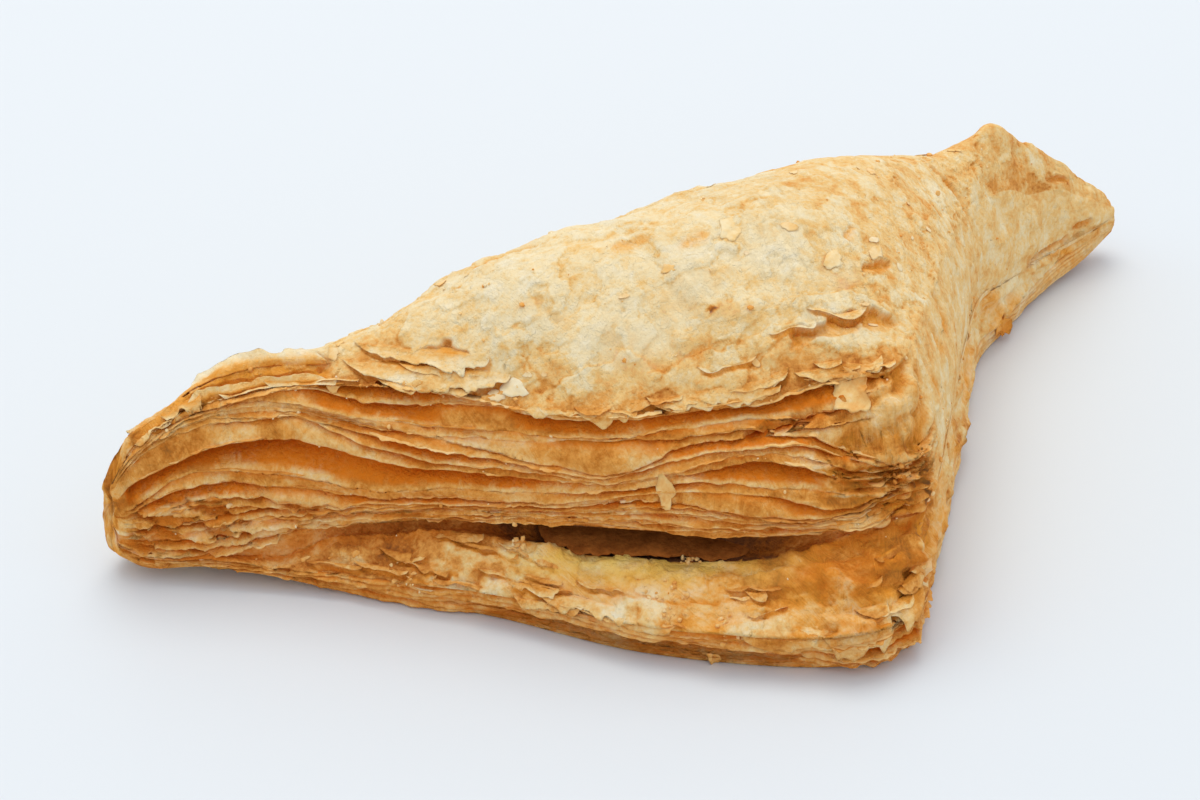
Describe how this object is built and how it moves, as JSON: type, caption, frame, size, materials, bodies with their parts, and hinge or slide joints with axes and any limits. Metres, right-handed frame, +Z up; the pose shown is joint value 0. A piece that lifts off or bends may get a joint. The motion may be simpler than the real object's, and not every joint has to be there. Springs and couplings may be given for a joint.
{
  "type": "turnover pastry",
  "caption": "Baked puff pastry turnover: a dough square folded into a triangle over a dark filling, its parted leaves showing along the cut edges.",
  "frame": {"origin": "bottom centre of the bounding box, where the pastry rests", "axes": "+X along the folded edge towards the narrow pinched tip, -Y towards the square corner, +Z up"},
  "size_m": [0.1716, 0.0796, 0.0436],
  "materials": {
    "crust": "matte baked puff pastry, cream to golden brown",
    "filling": "moist reddish brown minced filling"
  },
  "bodies": {
    "root": {"pastry_crust": "crust", "filling": "filling"}
  },
  "joints": []
}
